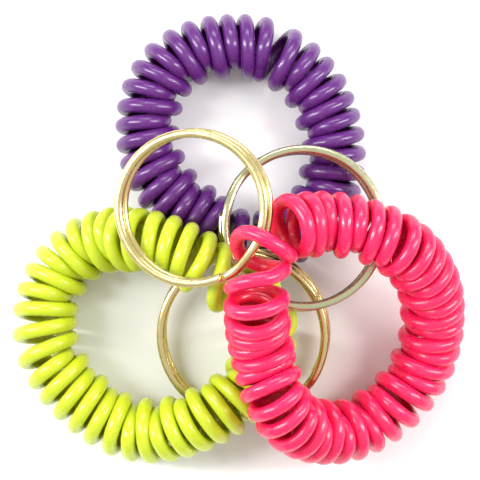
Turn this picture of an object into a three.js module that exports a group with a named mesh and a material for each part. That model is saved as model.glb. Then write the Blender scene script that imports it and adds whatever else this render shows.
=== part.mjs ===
// A set of three springy spiral wrist bands, each carrying a split key ring on one loose turn.
// Millimetres, +Z up. Origin: centre of the set's outline, on the surface it lies on.
// The purple band lies towards +Y, the yellow band towards -X -Y and the pink band towards +X -Y.
import * as THREE from "three";

// ---------------------------------------------------------------- driving dimensions

const CORD_DIAMETER = 2.9;               // plastic cord that every band is wound from
const COIL_RADIUS = 6.5;                 // outside radius of the wound coil
const TURN_RADIUS = COIL_RADIUS - CORD_DIAMETER / 2;
const COIL_SIDES = 16;
const COIL_STEP = 3.0;                   // length of one facet along a coil
const CORD_SIDES = 8;
const CORD_STEPS_PER_TURN = 14;
const COIL_END_GAP = 1.2;                // between a coil's end and its loose turns

const WIRE_WIDTH = 2.0;                  // split ring wire, across the ring
const WIRE_HEIGHT = 1.55;                // split ring wire, along the ring's axis
const WIRE_EDGE = 0.35;                  // bevel on the wire's four edges
const WIRE_GAP = 0.12;                   // between the two turns of a split ring
const WIRE_STEPS_PER_TURN = 36;
const STEP_OVER = THREE.MathUtils.degToRad(36);   // arc in which the wire climbs to its second turn

// ---------------------------------------------------------------- the three bands

// A route is the middle line of a coil: a closed loop that starts at the loose turn which carries
// the ring. The purple band lies flat, the yellow one leans on it and the pink one on both.
// outerSide is 90 degrees from the top of a turn towards the outside of the loop.

const BANDS = [
  {
    name: "purple",
    colour: 0x69287f,
    outerSide: 0,
    looseReach: 11.0,                    // from the loose turn to where the tight coil starts
    loosePitch: 8.4,
    looseTwist: 0,
    route: [
      [2.2, -1.2, 6.5],
      [-3.4, 1.0, 6.5],
      [-8.0, 4.6, 6.5],
      [-12.6, 8.2, 6.5],
      [-16.0, 12.8, 6.5],
      [-17.7, 18.0, 6.5],
      [-18.0, 23.6, 6.5],
      [-16.8, 29.2, 6.5],
      [-13.4, 34.2, 6.5],
      [-8.2, 37.2, 6.5],
      [-2.2, 38.2, 6.5],
      [4.2, 37.8, 6.5],
      [9.8, 35.0, 6.5],
      [14.4, 30.6, 6.5],
      [17.2, 25.0, 6.5],
      [18.6, 19.2, 6.5],
      [18.4, 13.2, 6.5],
      [16.6, 7.6, 6.5],
      [12.8, 3.0, 6.5],
      [7.6, 0.2, 6.5],
    ],
    ring: {
      centre: [0.9, -18.9, 4.4],
      outerDiameter: 34.6,
      risesTowards: 72,                  // compass angle from +X of the side that lies highest
      lean: 9.0,
      seam: -48,                         // where the wire steps over, from +X
    },
  },
  {
    name: "yellow",
    colour: 0xc6d92d,
    outerSide: 180,
    looseReach: 13.2,
    loosePitch: 10.2,
    looseTwist: -51,
    route: [
      [3.3, -11.1, 15.4],
      [-3.6, -7.8, 16.8],
      [-8.8, -4.0, 17.8],
      [-14.0, -1.6, 17.0],
      [-19.4, -0.4, 15.2],
      [-25.2, -0.2, 10.6],
      [-30.6, -2.0, 7.8],
      [-35.0, -6.0, 6.6],
      [-37.8, -11.4, 6.5],
      [-38.5, -17.2, 6.5],
      [-37.4, -23.2, 6.5],
      [-33.8, -28.8, 6.55],
      [-29.0, -33.4, 6.5],
      [-23.6, -36.8, 6.6],
      [-17.6, -38.0, 7.4],
      [-11.6, -37.0, 9.2],
      [-5.8, -34.6, 10.5],
      [-0.4, -31.2, 10.2],
      [3.6, -26.6, 8.6],
      [5.0, -20.8, 7.2],
      [5.0, -15.2, 9.6],
    ],
    ring: {
      centre: [12.4, 2.1, 15.1],
      outerDiameter: 32.8,
      risesTowards: 202,
      lean: 0.7,
      seam: 152,
    },
  },
  {
    name: "pink",
    colour: 0xf0286a,
    outerSide: 0,
    looseReach: 10.5,
    loosePitch: 8.0,
    looseTwist: -4,
    route: [
      [4.2, -2.2, 29.8],
      [9.0, 2.0, 29.1],
      [14.5, 2.8, 26.8],
      [20.0, 2.6, 25.6],
      [25.5, 1.3, 24.8],
      [30.5, -1.0, 23.6],
      [34.6, -4.6, 20.2],
      [37.4, -9.8, 15.6],
      [38.1, -15.5, 11.3],
      [37.4, -21.5, 8.2],
      [35.1, -27.0, 6.6],
      [31.2, -32.0, 6.6],
      [26.2, -35.8, 6.8],
      [20.5, -38.0, 9.4],
      [14.5, -37.6, 14.0],
      [10.0, -35.2, 19.2],
      [6.9, -30.2, 22.2],
      [5.0, -24.0, 22.8],
      [3.8, -18.0, 25.8],
      [3.4, -12.5, 30.0],
      [3.7, -7.4, 30.6],
    ],
    ring: {
      centre: [-8.8, 6.0, 27.4],
      outerDiameter: 31.0,
      risesTowards: 10,
      lean: 13.8,
      seam: -48,
    },
  },
];

// ---------------------------------------------------------------- curves

const ROUTE_DIVISIONS = 2000;            // fineness of the distances measured along a route
const UP = new THREE.Vector3(0, 0, 1);

// Middle line of a band, with an upright frame at any distance from its loose turn.
class Route {
  constructor(points) {
    const corners = points.map((point) => new THREE.Vector3(...point));
    this.curve = new THREE.CatmullRomCurve3(corners, true, "catmullrom", 0.5);
    this.curve.arcLengthDivisions = ROUTE_DIVISIONS;
    this.length = this.curve.getLength();
  }

  frameAt(distance) {
    const share = THREE.MathUtils.euclideanModulo(distance / this.length, 1);
    const point = this.curve.getPointAt(share);
    const ahead = this.curve.getTangentAt(share);
    const left = new THREE.Vector3().crossVectors(UP, ahead).normalize();
    const top = new THREE.Vector3().crossVectors(ahead, left);
    return { point, ahead, left, top };
  }
}

// Stretch of a route whose sections stay upright, so the underside of a coil is flat.
class CoilPath extends THREE.Curve {
  constructor(route, start, end) {
    super();
    this.route = route;
    this.start = start;
    this.end = end;
  }

  frame(share) {
    return this.route.frameAt(THREE.MathUtils.lerp(this.start, this.end, share));
  }

  getPoint(share) {
    return this.frame(share).point;
  }

  computeFrenetFrames(segments) {
    const frames = { tangents: [], normals: [], binormals: [] };
    for (let i = 0; i <= segments; i += 1) {
      const { ahead, left, top } = this.frame(i / segments);
      frames.tangents.push(ahead);
      frames.normals.push(left);
      frames.binormals.push(top);
    }
    return frames;
  }
}

// The few turns of cord that are pulled apart so that the key ring can pass between them.
class LooseTurns extends THREE.Curve {
  constructor(route, reach, pitch, outerAngle) {
    super();
    Object.assign(this, { route, reach, pitch, outerAngle });
  }

  getPoint(share) {
    const distance = THREE.MathUtils.lerp(-this.reach, this.reach, share);
    const { point, left, top } = this.route.frameAt(distance);
    const angle = this.outerAngle + (2 * Math.PI * distance) / this.pitch;
    return point
      .addScaledVector(left, TURN_RADIUS * Math.cos(angle))
      .addScaledVector(top, TURN_RADIUS * Math.sin(angle));
  }
}

// Two turns of wire, one on the other, with a climb between them. Its axis is +Z.
class SplitRingPath extends THREE.Curve {
  constructor(radius) {
    super();
    this.radius = radius;
    this.firstAngle = STEP_OVER / 2;
    this.lastAngle = 4 * Math.PI - STEP_OVER / 2;
  }

  angleAt(share) {
    return THREE.MathUtils.lerp(this.firstAngle, this.lastAngle, share);
  }

  getPoint(share) {
    const angle = this.angleAt(share);
    const climb = THREE.MathUtils.smoothstep(angle, 2 * Math.PI - STEP_OVER / 2, 2 * Math.PI + STEP_OVER / 2);
    const height = (climb - 0.5) * (WIRE_HEIGHT + WIRE_GAP);
    return new THREE.Vector3(this.radius * Math.cos(angle), this.radius * Math.sin(angle), height);
  }

  computeFrenetFrames(segments) {
    const frames = { tangents: [], normals: [], binormals: [] };
    for (let i = 0; i <= segments; i += 1) {
      const angle = this.angleAt(i / segments);
      const inward = new THREE.Vector3(-Math.cos(angle), -Math.sin(angle), 0);
      frames.normals.push(inward);
      frames.binormals.push(UP.clone());
      frames.tangents.push(new THREE.Vector3().crossVectors(inward, UP));
    }
    return frames;
  }
}

// ---------------------------------------------------------------- sections

// Regular polygon round a circle, with one side level at the bottom.
function roundSection(radius, sides) {
  const corner = radius / Math.cos(Math.PI / sides);
  const outline = [];
  for (let i = 0; i < sides; i += 1) {
    const angle = ((i + 0.5) * 2 * Math.PI) / sides;
    outline.push(new THREE.Vector2(corner * Math.cos(angle), corner * Math.sin(angle)));
  }
  return new THREE.Shape(outline);
}

function wireSection() {
  const x = WIRE_WIDTH / 2;
  const y = WIRE_HEIGHT / 2;
  const e = WIRE_EDGE;
  return new THREE.Shape([
    new THREE.Vector2(x, -y + e),
    new THREE.Vector2(x, y - e),
    new THREE.Vector2(x - e, y),
    new THREE.Vector2(-x + e, y),
    new THREE.Vector2(-x, y - e),
    new THREE.Vector2(-x, -y + e),
    new THREE.Vector2(-x + e, -y),
    new THREE.Vector2(x - e, -y),
  ]);
}

function sweep(section, path, steps) {
  return new THREE.ExtrudeGeometry(section, { steps, extrudePath: path, curveSegments: 1 });
}

// ---------------------------------------------------------------- parts of one band

function makeCoil(band, route) {
  const path = new CoilPath(route, band.looseReach, route.length - band.looseReach);
  const steps = Math.round((path.end - path.start) / COIL_STEP);
  return sweep(roundSection(COIL_RADIUS, COIL_SIDES), path, steps);
}

function makeLooseTurns(band, route) {
  const reach = band.looseReach - COIL_END_GAP - CORD_DIAMETER / 2;
  const outerAngle = THREE.MathUtils.degToRad(band.outerSide + band.looseTwist);
  const path = new LooseTurns(route, reach, band.loosePitch, outerAngle);
  const steps = Math.round((CORD_STEPS_PER_TURN * 2 * reach) / band.loosePitch);
  return sweep(roundSection(CORD_DIAMETER / 2, CORD_SIDES), path, steps);
}

function makeSplitRing(ring) {
  const path = new SplitRingPath((ring.outerDiameter - WIRE_WIDTH) / 2);
  return sweep(wireSection(), path, 2 * WIRE_STEPS_PER_TURN);
}

// Lays a ring down: its plane rises by the lean towards one side, and its seam faces another.
function placeRing(mesh, ring) {
  const side = THREE.MathUtils.degToRad(ring.risesTowards);
  const lean = THREE.MathUtils.degToRad(ring.lean);
  const uphill = new THREE.Vector3(
    Math.cos(side) * Math.cos(lean),
    Math.sin(side) * Math.cos(lean),
    Math.sin(lean),
  );
  const level = new THREE.Vector3(-Math.sin(side), Math.cos(side), 0);
  const axis = new THREE.Vector3().crossVectors(uphill, level);
  mesh.quaternion.setFromRotationMatrix(new THREE.Matrix4().makeBasis(uphill, level, axis));
  mesh.rotateZ(THREE.MathUtils.degToRad(ring.seam - ring.risesTowards));
  mesh.position.set(...ring.centre);
}

function addPart(group, name, geometry, material) {
  const mesh = new THREE.Mesh(geometry, material);
  mesh.name = name;
  group.add(mesh);
  return mesh;
}

function plastic(colour) {
  return new THREE.MeshStandardMaterial({ color: colour, roughness: 0.35, metalness: 0 });
}

function makeBand(band) {
  const unit = new THREE.Group();
  const route = new Route(band.route);
  addPart(unit, `${band.name}_coil`, makeCoil(band, route), plastic(band.colour));
  addPart(unit, `${band.name}_loose_turns`, makeLooseTurns(band, route), plastic(band.colour));
  const wire = new THREE.MeshStandardMaterial({ color: 0xc8b97a, roughness: 0.25, metalness: 1 });
  const ring = addPart(unit, `${band.name}_split_ring`, makeSplitRing(band.ring), wire);
  placeRing(ring, band.ring);
  return unit;
}

const group = new THREE.Group();
for (const band of BANDS) {
  group.add(makeBand(band));
}

export default group;
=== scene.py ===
"""Looks of a set of three spiral wrist bands with split key rings. Metres, +Z up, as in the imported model.

Each band is one helical cord wound round a closed route, and each ring is two turns of spring wire.
"""

import math

import bpy
import numpy as np
from mathutils import Matrix, Vector


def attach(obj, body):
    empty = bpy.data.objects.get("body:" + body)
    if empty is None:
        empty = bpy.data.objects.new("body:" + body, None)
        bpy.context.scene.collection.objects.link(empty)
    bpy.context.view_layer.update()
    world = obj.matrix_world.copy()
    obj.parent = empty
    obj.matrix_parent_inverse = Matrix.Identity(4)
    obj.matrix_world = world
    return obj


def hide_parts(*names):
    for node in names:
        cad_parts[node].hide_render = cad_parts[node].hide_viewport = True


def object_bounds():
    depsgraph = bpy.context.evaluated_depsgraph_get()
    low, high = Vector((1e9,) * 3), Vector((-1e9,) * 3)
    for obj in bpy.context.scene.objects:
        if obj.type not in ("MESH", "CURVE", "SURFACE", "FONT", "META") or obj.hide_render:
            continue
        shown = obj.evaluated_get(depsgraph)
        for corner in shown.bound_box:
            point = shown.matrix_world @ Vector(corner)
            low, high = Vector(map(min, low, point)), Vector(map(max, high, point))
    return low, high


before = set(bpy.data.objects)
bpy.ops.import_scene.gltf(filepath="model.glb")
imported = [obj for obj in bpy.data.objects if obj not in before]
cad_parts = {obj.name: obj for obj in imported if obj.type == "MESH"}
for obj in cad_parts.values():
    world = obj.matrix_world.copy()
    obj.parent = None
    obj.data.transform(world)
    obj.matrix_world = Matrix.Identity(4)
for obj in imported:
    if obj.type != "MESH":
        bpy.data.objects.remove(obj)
cad_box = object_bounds()

# ---------------------------------------------------------------- driving dimensions

CORD_DIAMETER = 0.0029
COIL_RADIUS = 0.0065
TURN_RADIUS = COIL_RADIUS - CORD_DIAMETER / 2
SPLINE_STEPS = 60                # points from one corner of a route to the next
ROUTE_STEP = 0.0001              # spacing of the worked-out points of a route
STEPS_PER_TURN = 48
CORD_SIDES = 20
TIGHT_PITCH = 1.025              # distance from turn to turn on a straight run, in cord diameters
BEND_OPENING = 0.14              # how far a bend opens the turns
BEND_BLUR = 0.007                # length over which the turns even out a bend
TOUCHING = 1.03                  # least distance between neighbouring turns, in cord diameters
TUCK_SPREAD = math.radians(30)   # how far round from the inside of a bend the tuck keeps that distance
TUCK_ROUNDS = 6                  # rounds in which the tuck and the room that it leaves settle
MOST_TUCK = 0.6                  # deepest tuck, as a share of a turn's radius
LOOSE_END = 0.00265              # the loose turns stop this far short of the tight coil
CALM_LENGTH = 0.004              # length of tight coil over which tuck and wander come in
WANDER_SIZE = 0.004              # height of a wave of the wander, as a share of a turn's radius
WANDER_WAVES = (5, 9, 14, 21)    # how often each wave of the wander goes up and down round a band
CORD_END_GAP = 0.00006           # hairline at the butt joint where a cord's two ends are fused

WIRE_WIDTH = 0.00175
WIRE_HEIGHT = 0.00155
WIRE_SIDES = 28
WIRE_SQUARENESS = 2.4            # exponent of the wire's rounded section
WIRE_STEPS_PER_TURN = 220
WIRE_GAP = 0.00012               # between the two turns of a ring
PLAIN_WIRE_WIDTH = 0.0020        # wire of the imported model's ring, which has the same middle line
RING_SLIP = 0.0006               # how far the two turns of a ring lie side by side
STEP_OVER = math.radians(36)     # arc in which the wire climbs to its second turn

# The outline at a rounded end, from its tip on: (size of the outline, shift into the piece).

CORD_END = [(0.9, CORD_END_GAP / 2), (1.0, CORD_END_GAP * 3)]
WIRE_END = [(0.80, 0.0), (0.94, 0.00010), (1.0, 0.00028)]

CAMERA_HEIGHT = 0.8
CAMERA_CENTRE = (0.0002, -0.0002)
CAMERA_LENS = 300
CAMERA_SENSOR = 36
CAMERA_FAR = 50

FLOOR_HALF = 3.0
FLOOR_DROP = 0.0001              # keeps the floor off the undersides that lie on it
WORLD_GREYS = ((0.05, 0.42), (0.9, 0.82))     # height above the horizon, and brightness there

# A route starts at the middle of the loose turn that carries the ring, and loose_reach is how far
# the tight coil is from there. Angles round a turn are in degrees from the route's left side, by way
# of its top: the outside of the loop is at outer_side, and the cord at the route's start is
# loose_twist beyond it.
# A gap is (place along the route as a share, width, extra pitch in cord diameters).
# lit is the cord's colour outside the coil, and the colour given after it is painted shade for the
# inside of the coil, where the turns shade each other. scatter is how far light travels in it. A ring's
# rises_towards and seam are directions in degrees from +X towards +Y, and lean is how steeply its plane
# rises.

BANDS = [
    {
        "name": "purple",
        "outer_side": 0,
        "loose_reach": 0.0110,
        "loose_pitch": 0.0084,
        "loose_twist": 0,
        "gaps": [(0.575, 0.0020, 1.1)],
        "route": [
            (0.0022, -0.0012, 0.0065),
            (-0.0034, 0.0010, 0.0065),
            (-0.0080, 0.0046, 0.0065),
            (-0.0126, 0.0082, 0.0065),
            (-0.0160, 0.0128, 0.0065),
            (-0.0177, 0.0180, 0.0065),
            (-0.0180, 0.0236, 0.0065),
            (-0.0168, 0.0292, 0.0065),
            (-0.0134, 0.0342, 0.0065),
            (-0.0082, 0.0372, 0.0065),
            (-0.0022, 0.0382, 0.0065),
            (0.0042, 0.0378, 0.0065),
            (0.0098, 0.0350, 0.0065),
            (0.0144, 0.0306, 0.0065),
            (0.0172, 0.0250, 0.0065),
            (0.0186, 0.0192, 0.0065),
            (0.0184, 0.0132, 0.0065),
            (0.0166, 0.0076, 0.0065),
            (0.0128, 0.0030, 0.0065),
            (0.0076, 0.0002, 0.0065),
        ],
        "lit": (0.098, 0.010, 0.158),
        "painted_shade": (0.052, 0.001, 0.060),
        "scatter": (0.0008, 0.0003, 0.0010),
        "ring": {
            "centre": (0.0009, -0.0189, 0.0044),
            "outer_diameter": 0.0346,
            "rises_towards": 72,
            "lean": 9.0,
            "seam": -48,
            "metal": (0.70, 0.58, 0.26),
        },
    },
    {
        "name": "yellow",
        "outer_side": 180,
        "loose_reach": 0.0132,
        "loose_pitch": 0.0102,
        "loose_twist": -51,
        "gaps": [(0.425, 0.0016, 0.5), (0.460, 0.0016, 0.5), (0.56, 0.009, 0.12)],
        "route": [
            (0.0033, -0.0111, 0.0154),
            (-0.0036, -0.0078, 0.0168),
            (-0.0088, -0.0040, 0.0178),
            (-0.0140, -0.0016, 0.0170),
            (-0.0194, -0.0004, 0.0152),
            (-0.0252, -0.0002, 0.0106),
            (-0.0306, -0.0020, 0.0078),
            (-0.0350, -0.0060, 0.0066),
            (-0.0378, -0.0114, 0.0065),
            (-0.0385, -0.0172, 0.0065),
            (-0.0374, -0.0232, 0.0065),
            (-0.0338, -0.0288, 0.00655),
            (-0.0290, -0.0334, 0.0065),
            (-0.0236, -0.0368, 0.0066),
            (-0.0176, -0.0380, 0.0074),
            (-0.0116, -0.0370, 0.0092),
            (-0.0058, -0.0346, 0.0105),
            (-0.0004, -0.0312, 0.0102),
            (0.0036, -0.0266, 0.0086),
            (0.0050, -0.0208, 0.0072),
            (0.0050, -0.0152, 0.0096),
        ],
        "lit": (0.520, 0.620, 0.018),
        "painted_shade": (0.400, 0.380, 0.010),
        "scatter": (0.0012, 0.0012, 0.0003),
        "ring": {
            "centre": (0.0124, 0.0021, 0.0151),
            "outer_diameter": 0.0328,
            "rises_towards": 202,
            "lean": 0.7,
            "seam": 152,
            "metal": (0.60, 0.60, 0.36),
        },
    },
    {
        "name": "pink",
        "outer_side": 0,
        "loose_reach": 0.0105,
        "loose_pitch": 0.0080,
        "loose_twist": -4,
        "gaps": [(0.53, 0.009, 0.20)],
        "route": [
            (0.0042, -0.0022, 0.0298),
            (0.0090, 0.0020, 0.0291),
            (0.0145, 0.0028, 0.0268),
            (0.0200, 0.0026, 0.0256),
            (0.0255, 0.0013, 0.0248),
            (0.0305, -0.0010, 0.0236),
            (0.0346, -0.0046, 0.0202),
            (0.0374, -0.0098, 0.0156),
            (0.0381, -0.0155, 0.0113),
            (0.0374, -0.0215, 0.0082),
            (0.0351, -0.0270, 0.0066),
            (0.0312, -0.0320, 0.0066),
            (0.0262, -0.0358, 0.0068),
            (0.0205, -0.0380, 0.0094),
            (0.0145, -0.0376, 0.0140),
            (0.0100, -0.0352, 0.0192),
            (0.0069, -0.0302, 0.0222),
            (0.0050, -0.0240, 0.0228),
            (0.0038, -0.0180, 0.0258),
            (0.0034, -0.0125, 0.0300),
            (0.0037, -0.0074, 0.0306),
        ],
        "lit": (0.800, 0.010, 0.098),
        "painted_shade": (0.620, 0.006, 0.014),
        "scatter": (0.0016, 0.0004, 0.0005),
        "ring": {
            "centre": (-0.0088, 0.0060, 0.0274),
            "outer_diameter": 0.0310,
            "rises_towards": 10,
            "lean": 13.8,
            "seam": -48,
            "metal": (0.74, 0.61, 0.28),
        },
    },
]

# ---------------------------------------------------------------- camera


def make_camera():
    data = bpy.data.cameras.new("camera")
    data.lens = CAMERA_LENS
    data.sensor_width = CAMERA_SENSOR
    data.clip_end = CAMERA_FAR
    camera = bpy.data.objects.new("camera", data)
    camera.location = (*CAMERA_CENTRE, CAMERA_HEIGHT)
    bpy.context.scene.collection.objects.link(camera)
    bpy.context.scene.camera = camera


make_camera()

# ---------------------------------------------------------------- routes and helices


def closed_spline(corners):
    """Smooth closed line through the corners."""
    here = np.array(corners)[:, None]
    before, after, beyond = (np.roll(here, shift, 0) for shift in (1, -1, -2))
    t = np.linspace(0, 1, SPLINE_STEPS, endpoint=False)[None, :, None]
    line = here * 2 + (after - before) * t
    line = line + (before * 2 - here * 5 + after * 4 - beyond) * t**2
    line = line + (here * 3 - before - after * 3 + beyond) * t**3
    return (line / 2).reshape(-1, 3)


def evenly_spaced(line, step):
    """The closed line again with points a fixed step apart, and its length."""
    closed = np.vstack([line, line[:1]])
    travelled = distances_along(closed)
    count = round(travelled[-1] / step)
    places = np.arange(count) * travelled[-1] / count
    points = np.stack([np.interp(places, travelled, closed[:, axis]) for axis in range(3)], 1)
    return points, travelled[-1]


def distances_along(line):
    """Distance from the start of an open line to each of its points."""
    return np.concatenate([[0], np.cumsum(np.linalg.norm(np.diff(line, axis=0), axis=1))])


def unit(vectors):
    return vectors / np.linalg.norm(vectors, axis=-1, keepdims=True)


def blurred(values, width):
    """Values round a closed route, evened out over a number of points."""
    window = np.hanning(2 * width + 1)
    window = window / window.sum()
    wrapped = np.concatenate([values[-width:], values, values[:width]])
    return np.convolve(wrapped, window, "valid")


class Route:
    """Middle line of a band, with its directions and its bend at each point.

    The bend points to the inside of the curve, and its length is one over the curve's radius.
    """

    def __init__(self, corners):
        self.points, self.length = evenly_spaced(closed_spline(corners), ROUTE_STEP)
        self.count = len(self.points)
        self.step = self.length / self.count
        self.ahead = unit(np.roll(self.points, -1, 0) - np.roll(self.points, 1, 0))
        self.left = unit(np.cross([0, 0, 1], self.ahead))
        self.top = np.cross(self.ahead, self.left)
        turn = (np.roll(self.ahead, -1, 0) - np.roll(self.ahead, 1, 0)) / (2 * self.step)
        width = round(BEND_BLUR / self.step)
        self.bend = np.stack([blurred(turn[:, axis], width) for axis in range(3)], 1)


def turn_rate(band, route):
    """Turns for each metre along a route, and the whole number of turns that they add up to.

    The turns lie close together, except at the bends, the gaps and the loose turns.
    """
    bend = np.linalg.norm(route.bend, axis=1)
    pitch = TIGHT_PITCH * (1 + BEND_OPENING * bend * TURN_RADIUS)
    place = np.arange(route.count) * route.step
    for share, width, extra in band["gaps"]:
        away = (place - share * route.length) / width
        pitch = pitch + extra * np.exp(-(away**2))
    rate = 1 / (pitch * CORD_DIAMETER)
    from_loose_turn = np.minimum(place, route.length - place)
    loose = from_loose_turn < band["loose_reach"] - LOOSE_END
    tight_turns = rate[~loose].sum() * route.step
    loose_turns = loose.sum() * route.step / band["loose_pitch"]
    whole = math.floor(tight_turns + loose_turns)
    rate = rate * (whole - loose_turns) / tight_turns
    rate[loose] = 1 / band["loose_pitch"]
    return rate, whole


def tuck_of(rate, route):
    """How far every second turn is pushed in on the inside of a bend, where turns have no room abreast."""
    bend = np.linalg.norm(route.bend, axis=1)
    least = TOUCHING * CORD_DIAMETER
    tuck = np.zeros_like(bend)
    for _ in range(TUCK_ROUNDS):
        room = (1 - bend * (TURN_RADIUS - tuck / 2)) / rate
        tuck = np.sqrt(np.clip(least**2 - room**2, 0, None)) / math.cos(TUCK_SPREAD)
    return np.minimum(tuck, MOST_TUCK * TURN_RADIUS)


def smooth_wander(place, seed):
    """A slow seeded wander round a closed route, so that no two turns are quite alike."""
    draws = np.random.default_rng(seed)
    total = np.zeros_like(place)
    for waves in WANDER_WAVES:
        total += draws.uniform(0.4, 1) * np.sin(2 * np.pi * (waves * place + draws.uniform()))
    return total * WANDER_SIZE


def cord_line(band, route, seed):
    """Centre line of a band's cord, and the direction from the coil's middle to each of its points.

    The cord starts and ends at its butt joint, at the underside of the coil across from the ring.
    """
    rate, whole = turn_rate(band, route)
    turns = np.concatenate([[0], np.cumsum(rate) * route.step])
    turns = turns[:-1] * whole / turns[-1]
    first = math.radians(band["outer_side"] + band["loose_twist"])
    steps = whole * STEPS_PER_TURN
    joint = whole // 2 - (first + math.pi / 2) / (2 * math.pi)
    wanted = (joint + np.linspace(0, whole, steps + 1)) % whole
    wanted[-1] = wanted[0]
    place = np.interp(wanted, np.append(turns, whole), np.arange(route.count + 1))
    index = np.floor(place).astype(int) % route.count
    after = (index + 1) % route.count
    part = (place - np.floor(place))[:, None]

    def at(values):
        return values[index] * (1 - part) + values[after] * part

    angle = (first + 2 * math.pi * wanted)[:, None]
    outward = np.cos(angle) * at(route.left) + np.sin(angle) * at(route.top)
    share = place / route.count
    from_loose = np.minimum(share, 1 - share) * route.length
    calm = np.clip((from_loose - band["loose_reach"]) / CALM_LENGTH, 0, 1)

    # inner_turn is a whole number wherever the cord passes the inside of the loop.
    inner_turn = wanted - (band["outer_side"] / 360 + 0.5 - first / (2 * math.pi))
    every_second = 0.5 - 0.5 * np.cos(math.pi * inner_turn)
    towards_bend = np.clip((outward * unit(at(route.bend))).sum(1), 0, 1)
    tuck = np.interp(place, np.arange(route.count), tuck_of(rate, route)) * calm * towards_bend
    radius = TURN_RADIUS * (1 + calm * smooth_wander(share, seed)) - tuck * every_second
    return at(route.points) + radius[:, None] * outward, outward


# ---------------------------------------------------------------- sweeping a section along a line


def sweep(name, line, across, outline, end):
    """Mesh of an outline (N x 2) swept along a line, and how many times the outline stands along it.

    across is the outline's x direction at each point of the line, and end is the shape of both ends,
    which are closed. The UV map holds metres along and round the piece.
    """
    tangents = unit(np.gradient(line, axis=0))
    across = unit(across - (across * tangents).sum(1, keepdims=True) * tangents)
    beside = np.cross(tangents, across)
    last_point = len(line) - 1
    stations = [(0, size, shift) for size, shift in end]
    stations += [(i, 1.0, 0.0) for i in range(1, last_point)]
    stations += [(last_point, size, -shift) for size, shift in reversed(end)]
    rings = []
    for i, size, shift in stations:
        centre = line[i] + tangents[i] * shift
        rings.append(centre + size * (outline[:, :1] * across[i] + outline[:, 1:] * beside[i]))
    mesh = bpy.data.meshes.new(name)
    vertices = np.concatenate(rings + [line[:1], line[-1:]])
    faces = swept_faces(len(rings), len(outline))
    mesh.from_pydata(vertices.tolist(), [], faces)
    mesh.polygons.foreach_set("use_smooth", [True] * len(faces))
    along = distances_along(line)
    girth = np.linalg.norm(np.roll(outline, -1, 0) - outline, axis=1).sum()
    map_sweep(mesh, [along[i] for i, _, _ in stations], len(outline), girth)
    piece = bpy.data.objects.new(name, mesh)
    bpy.context.scene.collection.objects.link(piece)
    return piece, len(rings)


def swept_faces(count, sides):
    """Faces between the outlines of a sweep, and the fans that close its two ends."""
    faces = []
    for i in range(count - 1):
        near = i * sides
        far = near + sides
        faces += [(near + j, near + (j + 1) % sides, far + (j + 1) % sides, far + j) for j in range(sides)]
    first_middle = count * sides
    last_middle = first_middle + 1
    last_rim = first_middle - sides
    faces += [(first_middle, (j + 1) % sides, j) for j in range(sides)]
    faces += [(last_middle, last_rim + j, last_rim + (j + 1) % sides) for j in range(sides)]
    return faces


def map_sweep(mesh, along, sides, girth):
    """UV map in metres: u along the piece and v round it. The two ends are left at zero."""
    layer = mesh.uv_layers.new(name="metres")
    values = []
    for here, there in zip(along, along[1:]):
        for j in range(sides):
            low, high = j * girth / sides, (j + 1) * girth / sides
            values += [here, low, here, high, there, high, there, low]
    values += [0.0] * (2 * len(mesh.loops) - len(values))
    layer.data.foreach_set("uv", values)


def add_point_values(mesh, name, values):
    attribute = mesh.attributes.new(name, "FLOAT", "POINT")
    attribute.data.foreach_set("value", np.asarray(values, np.float32))


# ---------------------------------------------------------------- materials

# Places of the sockets of a Mix node that mixes colours.
MIX_FACTOR = 0
MIX_FIRST = 6
MIX_SECOND = 7
MIX_RESULT = 2


class Nodes:
    """Short way to add and join the nodes of one material."""

    def __init__(self, name):
        self.material = bpy.data.materials.new(name)
        self.material.use_nodes = True
        self.tree = self.material.node_tree
        self.shader = self.tree.nodes["Principled BSDF"]

    def add(self, kind, **settings):
        node = self.tree.nodes.new(kind)
        for key, value in settings.items():
            setattr(node, key, value)
        return node

    def join(self, output, target):
        self.tree.links.new(output, target)

    def noise(self, vector, scale, detail):
        node = self.add("ShaderNodeTexNoise")
        node.inputs["Scale"].default_value = scale
        node.inputs["Detail"].default_value = detail
        self.join(vector, node.inputs["Vector"])
        return node.outputs["Fac"]

    def lines(self, metres, along, across, detail):
        """Noise on the UV map, with its own fineness along the piece and across it."""
        node = self.add("ShaderNodeMapping")
        node.inputs["Scale"].default_value = (along, across, 1)
        self.join(metres, node.inputs["Vector"])
        return self.noise(node.outputs["Vector"], scale=1.0, detail=detail)

    def mapped(self, value, source, target):
        """The value, with the range source stretched to the range target."""
        node = self.add("ShaderNodeMapRange")
        node.inputs["From Min"].default_value, node.inputs["From Max"].default_value = source
        node.inputs["To Min"].default_value, node.inputs["To Max"].default_value = target
        self.join(value, node.inputs["Value"])
        return node.outputs["Result"]

    def mixed(self, factor, first, second):
        node = self.add("ShaderNodeMix", data_type="RGBA")
        self.join(factor, node.inputs[MIX_FACTOR])
        for place, colour in ((MIX_FIRST, first), (MIX_SECOND, second)):
            if isinstance(colour, tuple):
                node.inputs[place].default_value = (*colour, 1)
            else:
                self.join(colour, node.inputs[place])
        return node.outputs[MIX_RESULT]

    def bumped(self, height, strength, distance, under=None):
        node = self.add("ShaderNodeBump")
        node.inputs["Strength"].default_value = strength
        node.inputs["Distance"].default_value = distance
        self.join(height, node.inputs["Height"])
        if under is not None:
            self.join(under, node.inputs["Normal"])
        return node.outputs["Normal"]

    def set(self, **values):
        for key, value in values.items():
            self.shader.inputs[key.replace("_", " ")].default_value = value

    def drive(self, socket, output):
        self.join(output, self.shader.inputs[socket])


def toned(colour, gain, lift):
    """A colour made brighter or darker by a gain, and paler by a lift."""
    return tuple(min(1.0, channel * gain + lift) for channel in colour)


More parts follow.
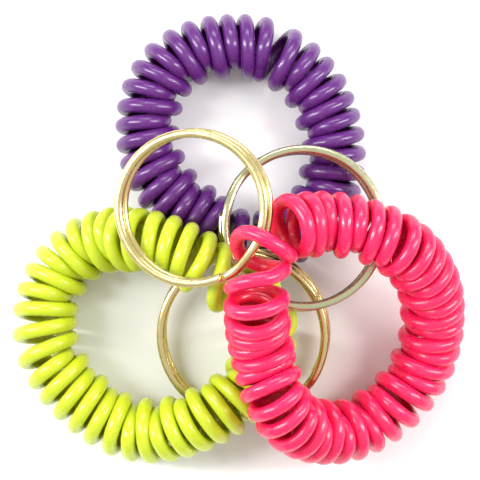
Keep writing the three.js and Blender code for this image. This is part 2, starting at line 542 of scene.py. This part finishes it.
def cord_material(band):
    """Glossy soft moulded plastic: painted shade inside the coil, cloudy, with faint lines along the cord.
    """
    nodes = Nodes(band["name"] + "_cord")
    metres = nodes.add("ShaderNodeUVMap", uv_map="metres").outputs["UV"]
    place = nodes.add("ShaderNodeTexCoord").outputs["Object"]
    inside = nodes.add("ShaderNodeAttribute", attribute_name="inside").outputs["Fac"]

    # Painted shade: the cord's colour goes over to a darker one on its side facing the coil's middle, where
    # the turns shade each other.
    painted_shade_share = nodes.mapped(inside, (-0.1, 0.9), (0.0, 0.85))
    shaded = nodes.mixed(painted_shade_share, band["lit"], band["painted_shade"])
    cloud = nodes.mapped(nodes.noise(place, scale=260, detail=2.0), (0.35, 0.75), (0.0, 0.30))
    paler = toned(band["lit"], gain=1.16, lift=0.012)
    nodes.drive("Base Color", nodes.mixed(cloud, shaded, paler))

    smudges = nodes.noise(place, scale=900, detail=3.0)
    nodes.drive("Roughness", nodes.mapped(smudges, (0.3, 0.7), (0.24, 0.38)))

    waves = nodes.lines(metres, along=420, across=260, detail=1.0)
    drawn = nodes.lines(metres, along=180, across=4200, detail=2.0)
    specks = nodes.noise(place, scale=5200, detail=2.0)
    normal = nodes.bumped(waves, strength=0.25, distance=0.00008)
    normal = nodes.bumped(drawn, strength=0.20, distance=0.00002, under=normal)
    normal = nodes.bumped(specks, strength=0.10, distance=0.00001, under=normal)
    nodes.drive("Normal", normal)

    nodes.set(Subsurface_Weight=0.35, Subsurface_Scale=1.0, Subsurface_Radius=band["scatter"])
    nodes.set(IOR=1.50, Coat_Weight=0.25, Coat_Roughness=0.12)
    return nodes.material


def wire_material(band):
    """Pale gold plated spring wire: drawn lines along it, and small rubbed patches."""
    nodes = Nodes(band["name"] + "_ring_wire")
    metres = nodes.add("ShaderNodeUVMap", uv_map="metres").outputs["UV"]
    place = nodes.add("ShaderNodeTexCoord").outputs["Object"]
    metal = band["ring"]["metal"]
    rubbed = toned(metal, gain=0.75, lift=0.22)
    darker = toned(metal, gain=0.72, lift=0.0)

    patches = nodes.noise(place, scale=420, detail=3.0)
    drawn = nodes.lines(metres, along=90, across=9000, detail=3.0)
    tone = nodes.mixed(nodes.mapped(patches, (0.45, 0.75), (0.0, 0.35)), metal, rubbed)
    tone = nodes.mixed(nodes.mapped(drawn, (0.55, 0.80), (0.0, 0.30)), tone, darker)
    nodes.drive("Base Color", tone)
    nodes.drive("Roughness", nodes.mapped(patches, (0.3, 0.7), (0.20, 0.30)))

    dents = nodes.noise(place, scale=2600, detail=2.0)
    normal = nodes.bumped(drawn, strength=0.15, distance=0.00001)
    nodes.drive("Normal", nodes.bumped(dents, strength=0.06, distance=0.00001, under=normal))
    nodes.set(Metallic=1.0)
    return nodes.material


def floor_material():
    nodes = Nodes("floor")
    place = nodes.add("ShaderNodeTexCoord").outputs["Object"]
    grain = nodes.noise(place, scale=40, detail=3.0)
    nodes.drive("Base Color", nodes.mixed(grain, (0.90, 0.90, 0.90), (0.93, 0.93, 0.93)))
    nodes.set(Roughness=0.75)
    return nodes.material


# ---------------------------------------------------------------- pieces


def angles_round(sides):
    return np.arange(sides) * 2 * np.pi / sides


def circle(radius, sides):
    angle = angles_round(sides)
    return radius * np.stack([np.cos(angle), np.sin(angle)], 1)


def rounded_oblong(width, height, sides, squareness):
    angle = angles_round(sides)
    x = np.sign(np.cos(angle)) * np.abs(np.cos(angle)) ** (2 / squareness)
    y = np.sign(np.sin(angle)) * np.abs(np.sin(angle)) ** (2 / squareness)
    return np.stack([x * width / 2, y * height / 2], 1)


def make_cord(band, seed):
    """The band's whole cord, in place of the plain coil and its loose turns.

    Its point values named inside are 1 on the side that faces the coil's middle and -1 on the outside.
    """
    name = band["name"]
    line, outward = cord_line(band, Route(band["route"]), seed)
    outline = circle(CORD_DIAMETER / 2, CORD_SIDES)
    cord, outlines = sweep(name + "_wound_cord", line, outward, outline, CORD_END)
    facing_in = -np.cos(angles_round(CORD_SIDES))
    end_middles = [0, 0]
    add_point_values(cord.data, "inside", np.append(np.tile(facing_in, outlines), end_middles))
    cord.data.materials.append(cord_material(band))
    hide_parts(name + "_coil", name + "_loose_turns")
    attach(cord, name + "_band")


def split_ring_line(radius, slip):
    """Two turns of wire, one on the other, with a climb between them. The seam faces +X.

    The lower turn lies a little to one side of the upper one: slip is that step, as x and y.
    """
    steps = 2 * WIRE_STEPS_PER_TURN
    angle = np.linspace(STEP_OVER / 2, 4 * np.pi - STEP_OVER / 2, steps + 1)
    climb = np.clip((angle - 2 * np.pi + STEP_OVER / 2) / STEP_OVER, 0, 1)
    climb = climb * climb * (3 - 2 * climb)
    height = (climb - 0.5) * (WIRE_HEIGHT + WIRE_GAP)
    shift = np.stack([(0.5 - climb) * slip[0], (0.5 - climb) * slip[1], height], 1)
    inward = np.stack([-np.cos(angle), -np.sin(angle), 0 * angle], 1)
    return -radius * inward + shift, inward


def ring_place(ring):
    """Where a ring lies, from a ring that lies level round the origin with its seam towards +X."""
    side, lean = math.radians(ring["rises_towards"]), math.radians(ring["lean"])
    uphill = Vector((math.cos(side) * math.cos(lean), math.sin(side) * math.cos(lean), math.sin(lean)))
    level = Vector((-math.sin(side), math.cos(side), 0))
    basis = Matrix((uphill, level, uphill.cross(level))).transposed().to_4x4()
    spin = Matrix.Rotation(math.radians(ring["seam"] - ring["rises_towards"]), 4, "Z")
    return Matrix.Translation(ring["centre"]) @ basis @ spin


def make_ring(band):
    """The band's split ring. Its lower turn slips towards the side that the ring rises to."""
    ring = band["ring"]
    slip_side = math.radians(ring["rises_towards"] - ring["seam"])
    slip = RING_SLIP * np.array([math.cos(slip_side), math.sin(slip_side)])
    line, inward = split_ring_line((ring["outer_diameter"] - PLAIN_WIRE_WIDTH) / 2, slip)
    outline = rounded_oblong(WIRE_WIDTH, WIRE_HEIGHT, WIRE_SIDES, WIRE_SQUARENESS)
    wire, _ = sweep(band["name"] + "_key_ring", line, inward, outline, WIRE_END)
    wire.data.transform(ring_place(ring))
    wire.data.materials.append(wire_material(band))
    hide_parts(band["name"] + "_split_ring")
    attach(wire, band["name"] + "_ring")


for seed, band in enumerate(BANDS, start=11):
    make_cord(band, seed)
    make_ring(band)

# ---------------------------------------------------------------- floor and light


def make_floor():
    mesh = bpy.data.meshes.new("floor")
    level = cad_box[0][2] - FLOOR_DROP
    corners = [(x * FLOOR_HALF, y * FLOOR_HALF, level) for x, y in ((-1, -1), (1, -1), (1, 1), (-1, 1))]
    mesh.from_pydata(corners, [], [(0, 1, 2, 3)])
    floor = bpy.data.objects.new("floor", mesh)
    floor.data.materials.append(floor_material())
    bpy.context.scene.collection.objects.link(floor)


def make_softbox(name, place, size, power):
    """A soft rectangular light that faces the middle of the set."""
    data = bpy.data.lights.new(name, "AREA")
    data.shape = "RECTANGLE"
    data.size, data.size_y = size
    data.energy = power
    light = bpy.data.objects.new(name, data)
    light.location = place
    light.rotation_euler = (-Vector(place)).to_track_quat("-Z", "Y").to_euler()
    bpy.context.scene.collection.objects.link(light)


def make_world():
    """A grey studio, darker near the horizon."""
    world = bpy.data.worlds.new("studio")
    world.use_nodes = True
    nodes, links = world.node_tree.nodes, world.node_tree.links
    direction = nodes.new("ShaderNodeTexCoord")
    height = nodes.new("ShaderNodeSeparateXYZ")
    ramp = nodes.new("ShaderNodeValToRGB")
    for element, (place, grey) in zip(ramp.color_ramp.elements, WORLD_GREYS):
        element.position = place
        element.color = (grey, grey, grey, 1)
    links.new(direction.outputs["Generated"], height.inputs["Vector"])
    links.new(height.outputs["Z"], ramp.inputs["Fac"])
    links.new(ramp.outputs["Color"], nodes["Background"].inputs["Color"])
    nodes["Background"].inputs["Strength"].default_value = 1.0
    bpy.context.scene.world = world


make_floor()
make_softbox("left_softbox", place=(-0.60, 0.10, 0.50), size=(0.14, 0.60), power=6.0)
make_softbox("right_softbox", place=(0.60, 0.10, 0.50), size=(0.14, 0.60), power=5.0)
make_softbox("far_softbox", place=(0.0, 0.60, 0.50), size=(0.60, 0.14), power=2.5)
make_world()
bpy.context.scene.view_settings.view_transform = "Standard"
